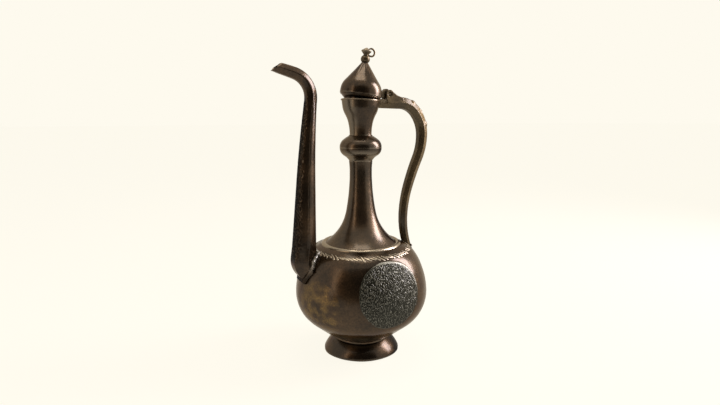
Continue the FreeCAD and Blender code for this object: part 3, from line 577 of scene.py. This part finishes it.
def on_bowl(table, across, up, middle, turn, proud):
    """A point on the bowl's side, from millimetres across and along it. Proud lifts it off the surface."""
    run = middle + up
    radius = np.interp(run, table[:, 0], table[:, 1])
    height = np.interp(run, table[:, 0], table[:, 2])
    ahead = np.interp(run + 0.5, table[:, 0], table[:, 1]) - np.interp(run - 0.5, table[:, 0], table[:, 1])
    rise = np.interp(run + 0.5, table[:, 0], table[:, 2]) - np.interp(run - 0.5, table[:, 0], table[:, 2])
    size = math.hypot(ahead, rise)
    angle = turn + across / radius
    out = radius + proud * rise / size
    return Vector((out * math.cos(angle), out * math.sin(angle), height - proud * ahead / size)) * MM


def chased_strokes(across, up, seed):
    """How high the chased work stands at a point: short upright strokes, swayed and broken."""
    place = Vector((across, up, seed)) * 0.15
    sway = 2.6 * noise.noise(place)
    drift = 2.6 * noise.noise(place + Vector((7.0, 3.0, 0.0)))
    return smooth_step(-0.05, 0.3, noise.noise(Vector(((across + sway) * 1.2, (up + drift) * 0.55, seed))))


class EWER_OT_foot(bpy.types.Operator):
    """Beat the flared foot"""

    bl_idname = "ewer.foot"
    bl_label = "Foot"

    def execute(self, context):
        sizes = context.scene.ewer_sizes
        piece = spin_shell("flared_foot", FOOT, 1.2, 160)
        beat(piece, sizes.hammer_depth * 0.6, sizes.hammer_size)
        thicken(piece, sizes.foot_wall)
        # an old knock has bent the rim a little up and in towards the front
        knock = Vector((-0.42, -0.91))
        for vertex in piece.data.vertices:
            rim = 1 - smooth_step(1 * MM, 11 * MM, vertex.co.z)
            share = rim * smooth_step(0.1, 1.0, vertex.co.xy.normalized().dot(knock))
            vertex.co.z = max(vertex.co.z, 0.0) + sizes.rim_knock * share
            vertex.co.xy *= 1 - 0.035 * share
        # painted shade darkens the foot's right side, where it faces the lamps
        paint_wear_light_and_shade(piece, lambda place, normal: 0.5 * smooth_step(0.0, 0.6, normal.x), "grime")
        hand_over(piece, "pot", "beaten_bronze", finishes()["beaten_sheet_bronze"], "foot")
        collar = bar_copy("foot_collar", "collar_bead", 0.4 * MM, 3)
        collar.data.transform(Matrix.Translation((0, 0, sizes.collar_lift)))
        hand_over(collar, "pot", "solder", finishes()["dark_solder"], "foot_collar")
        return {"FINISHED"}


class EWER_OT_bowl(bpy.types.Operator):
    """Beat the bowl and sink the grounds of its chased fields"""

    bl_idname = "ewer.bowl"
    bl_label = "Bowl"

    def execute(self, context):
        sizes = context.scene.ewer_sizes
        piece = spin_shell("beaten_bowl", BOWL, 1.6, 224)
        beat(piece, sizes.hammer_depth, sizes.hammer_size)
        fields = [
            (-math.pi / 2, sizes.roundel_height, sizes.roundel_radius, 3 * MM),
            (math.pi / 2, sizes.roundel_height, sizes.roundel_radius, 3 * MM),
            (math.pi + sizes.field_turn, sizes.field_height, sizes.field_radius, 18 * MM),
        ]

        def ground(place, normal):
            radius = place.xy.length
            angle = math.atan2(place.y, place.x)
            share = 0.0
            for turn, height, reach, soft in fields:
                across = ((angle - turn + math.pi) % (2 * math.pi) - math.pi) * radius
                far = math.hypot(across, (place.z - height) * 1.04)
                share = max(share, 1 - smooth_step(reach - 1 * MM - soft, reach - 1 * MM, far))
            return (sizes.relief_depth + 0.2 * MM) * share if radius > 40 * MM else 0.0

        sink(piece, ground)
        thicken(piece, sizes.bowl_wall)

        # painted light: the bowl pales towards its underside as a painted reflection of the floor, and a
        # little on its right shoulder as a painted highlight
        def worn(place, normal):
            below = 1 - smooth_step(24 * MM, 40 * MM, place.z)
            shoulder = smooth_step(0.35, 0.75, normal.x) * smooth_step(0.2, 0.6, normal.z)
            return 0.5 * below + 0.12 * shoulder

        paint_wear_light_and_shade(piece, worn)
        bronze = finishes()["beaten_sheet_bronze"]
        hand_over(piece, "pot", "beaten_bronze", bronze, "bowl", "bowl_bottom", "bowl_shoulder")
        return {"FINISHED"}


class EWER_OT_roundels(bpy.types.Operator):
    """Chase the roundels on the bowl's sides and the worn field under the spout"""

    bl_idname = "ewer.roundels"
    bl_label = "Chased Fields"

    def execute(self, context):
        sizes = context.scene.ewer_sizes
        roundel = (sizes.roundel_height, sizes.roundel_radius)
        field = (sizes.field_height, sizes.field_radius)
        self.chase("roundel_front", -math.pi / 2, *roundel, 1.0, "chased_bronze")
        self.chase("roundel_back", math.pi / 2, *roundel, 23.0, "chased_bronze")
        self.chase("field_under_spout", math.pi + sizes.field_turn, *field, 41.0, "worn_field")
        return {"FINISHED"}

    def chase(self, name, turn, height, reach, seed, finish):
        """One disc of chased work that lies in its sunk ground on the bowl."""
        sizes = bpy.context.scene.ewer_sizes
        worn = finish == "worn_field"
        depth = sizes.relief_depth / MM
        radius = reach / MM
        clear_selection()
        bpy.ops.mesh.primitive_grid_add(x_subdivisions=200, y_subdivisions=200, size=2)
        piece = named(name)
        table = meridian()
        middle = np.interp(height / MM, table[:, 2], table[:, 0])
        layers = {"ridge": [], "grime": []}
        for vertex in piece.data.vertices:
            x, y = vertex.co.x, vertex.co.y
            across = radius * x * math.sqrt(max(0.0, 1 - y * y / 2))
            up = radius * y * math.sqrt(max(0.0, 1 - x * x / 2))
            far = math.hypot(across, up)
            # millimetres on the disc from here on, and shares of 0 to 1
            stroke = chased_strokes(across, up, seed)
            patch = 0.5 + 0.5 * noise.noise(Vector((across * 0.14, up * 0.14, seed + 30.0)))
            edge = smooth_step(radius - (20.0 if worn else 3.0), radius - 1.5, far)
            top = max(stroke * (1 - edge), edge)
            # the upper rim of a roundel carries a painted highlight, towards one side
            painted_rim_highlight = smooth_step(radius - 3.4, radius - 2.8, far)
            painted_rim_highlight *= smooth_step(0.35, 0.8, (0.8 * up + 0.5 * across) / radius)
            bare = max((0.25 + 0.6 * patch) * stroke * (1 - edge), painted_rim_highlight)
            if worn:
                top *= 0.3 * (1 - edge)
                bare = 0.6 * smooth_step(0.3, 0.7, patch) * (0.4 + 0.6 * stroke) * (1 - edge)
            proud = -depth + (depth - 0.03) * top - 0.5 * smooth_step(radius - 3.0, radius, far)
            vertex.co = on_bowl(table, across, up, middle, turn, proud)
            layers["ridge"].append(bare)
            layers["grime"].append(0.0 if worn else 0.5 * (1 - stroke) * (1 - edge))
        for layer, shares in layers.items():
            write_layer(piece, layer, shares)
        face_outwards(piece)
        thicken(piece, sizes.disc_wall)
        hand_over(piece, "pot", "beaten_bronze", finishes()[finish])


class EWER_OT_leaf_band(bpy.types.Operator):
    """Raise the band of slanting leaves on the shoulder"""

    bl_idname = "ewer.leaf_band"
    bl_label = "Leaf Band"

    def execute(self, context):
        sizes = context.scene.ewer_sizes
        table = meridian()
        middle = np.interp(sizes.leaf_height / MM, table[:, 2], table[:, 0])
        clear_selection()
        bpy.ops.mesh.primitive_uv_sphere_add(segments=10, ring_count=6, radius=1)
        leaf = named("leaf_band")
        half_length = sizes.leaf_length / MM / 2
        half_width = sizes.leaf_width / MM / 2
        shape = [vertex.co.copy() for vertex in leaf.data.vertices]
        copies = [leaf]
        for number in range(1, sizes.leaf_count):
            take(leaf)
            bpy.ops.object.duplicate()
            copies.append(bpy.context.object)
        for number, copy in enumerate(copies):
            turn = 2 * math.pi * number / sizes.leaf_count
            grow = 1 + 0.35 * noise.noise(Vector((number * 0.9, 0.0, 3.0)))
            slant = math.radians(145 + 60 * noise.noise(Vector((number * 1.7, 5.0, 0.0))))
            shine = 0.45 + 0.55 * (0.5 + 0.5 * noise.noise(Vector((number * 0.37, 0.0, 8.0))))
            for vertex, start in zip(copy.data.vertices, shape):
                along = start.x * half_length * grow
                taper = 1 - 0.45 * start.x
                side = start.y * half_width * taper
                across = along * math.cos(slant) - side * math.sin(slant)
                up = along * math.sin(slant) + side * math.cos(slant)
                proud = 0.05 + 0.3 * start.z
                vertex.co = on_bowl(table, across, up, middle, turn, proud)
            write_layer(copy, "ridge", [shine * smooth_step(-0.1, 0.5, start.z) for start in shape])
        clear_selection()
        for copy in copies:
            copy.select_set(True)
        context.view_layer.objects.active = leaf
        bpy.ops.object.join()
        face_outwards(leaf)
        bpy.ops.object.shade_smooth_by_angle(angle=math.radians(60))
        hand_over(leaf, "pot", "beaten_bronze", finishes()["beaten_sheet_bronze"])
        return {"FINISHED"}


class EWER_OT_neck(bpy.types.Operator):
    """Beat the neck, the two halves of its knop and the mouth cup, and set their wires"""

    bl_idname = "ewer.neck"
    bl_label = "Neck"

    def execute(self, context):
        sizes = context.scene.ewer_sizes
        finish = finishes()
        shells = [
            ("neck_tube", NECK, 1.2, 128, "neck"),
            ("knop_lower_half", KNOP_LOWER, 0.8, 128, "knop_lower"),
            ("knop_upper_half", KNOP_UPPER, 0.8, 128, "knop_upper"),
            ("flared_cup", CUP, 0.8, 128, "mouth_cup"),
        ]
        for name, chain, spacing, steps, node in shells:
            piece = spin_shell(name, chain, spacing, steps)
            beat(piece, sizes.hammer_depth * 0.5, sizes.hammer_size * 0.7)
            if node == "mouth_cup":
                bpy.ops.object.mode_set(mode="EDIT")
                bpy.ops.mesh.select_all(action="SELECT")
                bpy.ops.mesh.bisect(
                    plane_co=(0, 0, RIM_HEIGHT * MM),
                    plane_no=(math.sin(RIM_TILT), 0, math.cos(RIM_TILT)),
                    clear_outer=True,
                )
                bpy.ops.object.mode_set(mode="OBJECT")
            thicken(piece, sizes.neck_wall)
            if node == "mouth_cup":
                # painted highlights pale the cup's two flanks, left and right
                paint_wear_light_and_shade(piece, lambda place, normal: 0.3 * smooth_step(0.5, 0.85, abs(normal.x)))
            else:
                # neck and knop: a little even wear, painted reflection of the floor where they face down, and
                # painted shade on their right sides
                paint_wear_light_and_shade(piece, lambda place, normal: 0.05 + 0.3 * smooth_step(0.1, 0.6, -normal.z))
                paint_wear_light_and_shade(piece, lambda place, normal: 0.35 * smooth_step(0.2, 0.7, normal.x), "grime")
            hand_over(piece, "pot", "beaten_bronze", finish["beaten_sheet_bronze"], node)
        wires = [
            ("shoulder_ring", "shoulder_wire", 0.4, sizes.shoulder_swell),
            ("rim_wire", "mouth_wire", 0.25, sizes.mouth_swell),
        ]
        for node, name, voxel, swell in wires:
            wire = bar_copy(node, name, voxel * MM, 3)
            sink(wire, lambda place, normal: -swell)
            if node == "shoulder_ring":
                drop = Matrix.Translation((0, 0, -sizes.shoulder_drop))
                wire.data.transform(drop @ Matrix.Diagonal((1.01, 1.01, 1, 1)))
            paint_wear_light_and_shade(wire, lambda place, normal: 0.8 * smooth_step(-0.2, 0.8, normal.z))
            hand_over(wire, "pot", "bronze_wire", finish["drawn_wire_bronze"], node)
        return {"FINISHED"}


class EWER_OT_spout(bpy.types.Operator):
    """Fold the six-sided spout, engrave its sides and solder its root"""

    bl_idname = "ewer.spout"
    bl_label = "Spout"

    def execute(self, context):
        sizes = context.scene.ewer_sizes
        piece = bar_copy("spout", "folded_spout", 0.62 * MM, 26)
        self.swell_faces(piece, 0.75)
        # the beak's underside runs thinner towards its lip
        for vertex in piece.data.vertices:
            place = vertex.co / MM
            past_tip = place - BEAK_TIP
            under = 1 - smooth_step(-5.0, 5.0, past_tip.z + 0.14 * past_tip.x)
            if place.z > 285:
                vertex.co.z += sizes.lip_lift * under * smooth_step(74, 99, -place.x)
                vertex.co.x += sizes.lip_draw * under * smooth_step(88, 99, -place.x)

        def scroll(place):
            return 1 - smooth_step(0.0, 0.5, abs(math.sin(noise.noise(place / MM * 0.2) * 9.0)))

        def outer_face(place, normal):
            run = smooth_step(104, 118, place.z / MM) * (1 - smooth_step(268, 284, place.z / MM))
            return run * smooth_step(0.4, 0.8, -normal.x)

        paint_wear_light_and_shade(piece, lambda place, normal: 0.2 * outer_face(place, normal) * scroll(place))
        # painted shade darkens the spout's outer face, less along its engraved scrolls
        paint_wear_light_and_shade(piece, lambda place, normal: outer_face(place, normal) * (0.72 - 0.5 * scroll(place)), "grime")
        sink(piece, lambda place, normal: sizes.engraving_depth * outer_face(place, normal) * scroll(place))
        hand_over(piece, "pot", "spout_bronze", finishes()["folded_spout_bronze"], "spout")
        solder = bar_copy("spout_solder", "root_solder", 0.3 * MM, 3)

        def solder_lump(place, normal):
            high = smooth_step(96 * MM, 110 * MM, place.z)
            return -MM * (0.4 + 1.8 * high * max(0.0, 0.45 + noise.noise(place / (3.6 * MM))))

        sink(solder, solder_lump)
        paint_wear_light_and_shade(solder, lambda place, normal: 0.9 * smooth_step(100 * MM, 112 * MM, place.z))
        # painted shade darkens the solder's lower end
        paint_wear_light_and_shade(solder, lambda place, normal: 0.6 * (1 - smooth_step(94 * MM, 104 * MM, place.z)), "grime")
        hand_over(solder, "pot", "solder", finishes()["old_solder"], "spout_solder")
        return {"FINISHED"}

    def swell_faces(self, piece, share):
        """Bring the upright tube's six flat sides part of the way to round ones."""
        step = 2 * MM
        spans = {}
        for vertex in piece.data.vertices:
            level = round(vertex.co.z / step)
            low, high = spans.get(level, (vertex.co.x, vertex.co.x))
            spans[level] = (min(low, vertex.co.x), max(high, vertex.co.x))
        levels = sorted(spans)
        middles = [sum(spans[level]) / 2 for level in levels]
        sixth = math.pi / 3
        for vertex in piece.data.vertices:
            height = vertex.co.z
            upright = smooth_step(112 * MM, 130 * MM, height) * (1 - smooth_step(262 * MM, 278 * MM, height))
            centre = np.interp(height / step, levels, middles)
            angle = math.atan2(vertex.co.y, vertex.co.x - centre)
            off_flat = (angle + sixth / 2) % sixth - sixth / 2
            grow = 1 + share * upright * (1.05 * math.cos(off_flat) - 1)
            vertex.co.x = centre + (vertex.co.x - centre) * grow
            vertex.co.y *= grow


class EWER_OT_handle(bpy.types.Operator):
    """Cast the handle with its hinge fork, and set its rivets and pin"""

    bl_idname = "ewer.handle"
    bl_label = "Handle"

    def execute(self, context):
        sizes = context.scene.ewer_sizes
        bronze = finishes()["cast_bar_bronze"]
        piece = bar_copy("handle", "cast_handle", 0.42 * MM, 4)
        # the lug below the hinge is filed away up to its seat
        for vertex in piece.data.vertices:
            place = vertex.co
            under = smooth_step(19.0 * MM, 20.5 * MM, place.x) * (1 - smooth_step(29 * MM, 31 * MM, place.x))
            if 272.5 * MM < place.z < sizes.hinge_seat:
                place.z += (sizes.hinge_seat - place.z) * under

        def casting_lump(place, normal):
            near = min((place.xz / MM - middle).length for middle in CASTING_LUMPS)
            return -sizes.casting_lump * (1 - smooth_step(1.0, 4.5, near))

        sink(piece, casting_lump)
        for vertex in piece.data.vertices:
            vertex.co.x = min(vertex.co.x, CAD_BOX[1][0])
        # painted shade darkens the handle's faces that turn right and up, towards the lamps
        paint_wear_light_and_shade(piece, lambda place, normal: 0.62 * smooth_step(0.35, 0.95, normal.x + normal.z), "grime")
        hand_over(piece, "pot", "cast_bronze", bronze, "handle")
        for node, name, voxel in (("handle_rivets", "tail_rivets", 0.2), ("hinge_pin", "fork_pin", 0.15)):
            hand_over(bar_copy(node, name, voxel * MM, 2), "pot", "cast_bronze", bronze, node)
        return {"FINISHED"}


class EWER_OT_lid(bpy.types.Operator):
    """Beat the lid's dome and bezel, and set its strap, finial and ring"""

    bl_idname = "ewer.lid"
    bl_label = "Lid"

    def execute(self, context):
        sizes = context.scene.ewer_sizes
        finish = finishes()
        dome = spin_shell("pointed_dome", DOME, 0.8, 144)

        def flute(place, normal):
            radius = place.xy.length / MM
            share = (1 - smooth_step(9.0, 17.0, radius)) * smooth_step(3.4, 5.0, radius)
            return 0.2 * MM * share * (0.5 + 0.5 * math.cos(math.atan2(place.y, place.x) * 18))

        sink(dome, flute)
        beat(dome, sizes.hammer_depth * 0.5, sizes.hammer_size * 0.7)
        thicken(dome, sizes.neck_wall)
        bezel = spin_shell("lid_cone", BEZEL, 0.8, 112)
        thicken(bezel, sizes.neck_wall)
        for piece, node in ((dome, "lid_dome"), (bezel, "lid_bezel")):
            piece.data.transform(LID_FRAME)
            # painted highlight pales the right side of the dome and bezel
            paint_wear_light_and_shade(piece, lambda place, normal: 0.2 * smooth_step(0.2, 0.7, normal.x))
            hand_over(piece, "lid", "beaten_bronze", finish["beaten_sheet_bronze"], node)
        for node, name, voxel in (
            ("lid_strap", "hinge_strap", 0.22),
            ("finial_bead", "round_bead", 0.2),
            ("finial_bud", "flared_bud", 0.2),
        ):
            piece = bar_copy(node, name, voxel * MM, 2)
            paint_wear_light_and_shade(piece, lambda place, normal: 0.5 * smooth_step(324 * MM, 326 * MM, place.z))
            hand_over(piece, "lid", "cast_bronze", finish["cast_bar_bronze"], node)
        ring = bar_copy("finial_ring", "wire_ring", 0.13 * MM, 2)

        def swell(place, normal):
            # thicker only away from its eye in the bud, where it has to swing
            return -sizes.ring_swell * smooth_step(3.2, 5.0, (place / MM - RING_EYE).length)

        sink(ring, swell)
        hand_over(ring, "ring", "bronze_wire", finish["drawn_wire_bronze"], "finial_ring")
        return {"FINISHED"}


class EWER_OT_stage(bpy.types.Operator):
    """Set the pale floor, the lamps, the world and the camera"""

    bl_idname = "ewer.stage"
    bl_label = "Stage"

    def execute(self, context):
        scene = context.scene
        cream = list(scene.ewer_finish.backdrop)
        scene.view_settings.view_transform = "Standard"
        self.floor(cream)
        self.world(scene, cream)
        self.dark_card(list(scene.ewer_finish.dark_card))
        for lamp in LAMPS:
            self.lamp(*lamp)
        turns = [math.radians(turn) for turn in CAMERA_TURN]
        bpy.ops.object.camera_add(location=CAMERA_PLACE, rotation=turns)
        camera = named("Stage Camera")
        camera.data.lens = scene.ewer_sizes.camera_lens
        camera.data.sensor_width = 36
        camera.data.sensor_fit = "HORIZONTAL"
        camera.data.clip_start = 0.01
        scene.camera = camera
        return {"FINISHED"}

    def floor(self, cream):
        """A wide pale floor that glows a little, so that it reads as the photograph's bare ground."""
        clear_selection()
        bpy.ops.mesh.primitive_plane_add(size=60)
        floor = named("Pale Floor")
        material = bpy.data.materials.new("pale_floor")
        tree = clean_tree(material)
        paint = add(tree, "ShaderNodeBsdfDiffuse", {"Color": cream}).outputs[0]
        glow = add(tree, "ShaderNodeEmission", {"Color": cream, "Strength": 1.012}).outputs[0]
        mixed = add(tree, "ShaderNodeMixShader", {0: 0.95, 1: paint, 2: glow}).outputs[0]
        add(tree, "ShaderNodeOutputMaterial", {"Surface": mixed})
        floor.data.materials.append(material)

    def dark_card(self, shade):
        """A dark card behind the camera, which darkens what of the metal faces the eye."""
        clear_selection()
        upright = (math.radians(90), 0, math.radians(CAMERA_TURN[2]))
        bpy.ops.mesh.primitive_plane_add(size=1, location=(-0.34, -0.67, 0.45), rotation=upright)
        card = named("Dark Card")
        card.dimensions = (1.7, 0.9, 0)
        card.visible_camera = False
        card.visible_diffuse = False
        card.visible_shadow = False
        material = bpy.data.materials.new("dark_card")
        tree = clean_tree(material)
        paint = add(tree, "ShaderNodeEmission", {"Color": shade, "Strength": 1.0}).outputs[0]
        add(tree, "ShaderNodeOutputMaterial", {"Surface": paint})
        card.data.materials.append(material)

    def world(self, scene, cream):
        """A cream room for the eye and for reflections, and a dimmer one for soft light."""
        world = bpy.data.worlds.new("Cream Room")
        scene.world = world
        tree = clean_tree(world)
        ray = add(tree, "ShaderNodeLightPath").outputs
        seen = add(
            tree, "ShaderNodeMath", {0: ray["Is Camera Ray"], 1: ray["Is Glossy Ray"]}, operation="MAXIMUM"
        ).outputs[0]
        clear = add(
            tree, "ShaderNodeMath", {0: seen, 1: ray["Is Transmission Ray"]}, operation="MAXIMUM"
        ).outputs[0]
        strength = add(
            tree,
            "ShaderNodeMapRange",
            {"Value": clear, "From Min": 0.0, "From Max": 1.0, "To Min": 0.6, "To Max": 1.0},
        ).outputs["Result"]
        room = add(tree, "ShaderNodeBackground", {"Color": cream, "Strength": strength}).outputs[0]
        add(tree, "ShaderNodeOutputWorld", {"Surface": room})

    def lamp(self, name, place, size, power, code):
        """One soft area lamp that faces the pot."""
        clear_selection()
        bpy.ops.object.light_add(type="AREA", location=place)
        lamp = named(name)
        lamp.rotation_euler = (Vector(LAMP_TARGET) - Vector(place)).to_track_quat("-Z", "Y").to_euler()
        lamp.data.shape = "RECTANGLE"
        lamp.data.size, lamp.data.size_y = size
        lamp.data.energy = power
        lamp.data.color = linear(code)[:3]


class EWER_PT_sidebar(bpy.types.Panel):
    """Lists the ewer's sizes, colours and pieces"""

    bl_idname = "EWER_PT_sidebar"
    bl_label = "Ewer"
    bl_space_type = "VIEW_3D"
    bl_region_type = "UI"
    bl_category = "Ewer"

    def draw(self, context):
        for group in (context.scene.ewer_sizes, context.scene.ewer_finish):
            for name in group.__annotations__:
                self.layout.prop(group, name)
        for operator in OPERATORS:
            self.layout.operator(operator.bl_idname)


OPERATORS = (
    EWER_OT_foot,
    EWER_OT_bowl,
    EWER_OT_roundels,
    EWER_OT_leaf_band,
    EWER_OT_neck,
    EWER_OT_spout,
    EWER_OT_handle,
    EWER_OT_lid,
    EWER_OT_stage,
)
CLASSES = (EwerSizes, EwerFinish, *OPERATORS, EWER_PT_sidebar)


def register():
    for item in CLASSES:
        bpy.utils.register_class(item)
    bpy.types.Scene.ewer_sizes = bpy.props.PointerProperty(type=EwerSizes)
    bpy.types.Scene.ewer_finish = bpy.props.PointerProperty(type=EwerFinish)


def unregister():
    del bpy.types.Scene.ewer_finish
    del bpy.types.Scene.ewer_sizes
    for item in reversed(CLASSES):
        bpy.utils.unregister_class(item)


def main():
    register()
    bpy.ops.ewer.foot()
    bpy.ops.ewer.bowl()
    bpy.ops.ewer.roundels()
    bpy.ops.ewer.leaf_band()
    bpy.ops.ewer.neck()
    bpy.ops.ewer.spout()
    bpy.ops.ewer.handle()
    bpy.ops.ewer.lid()
    bpy.ops.ewer.stage()


if __name__ == "__main__":
    main()
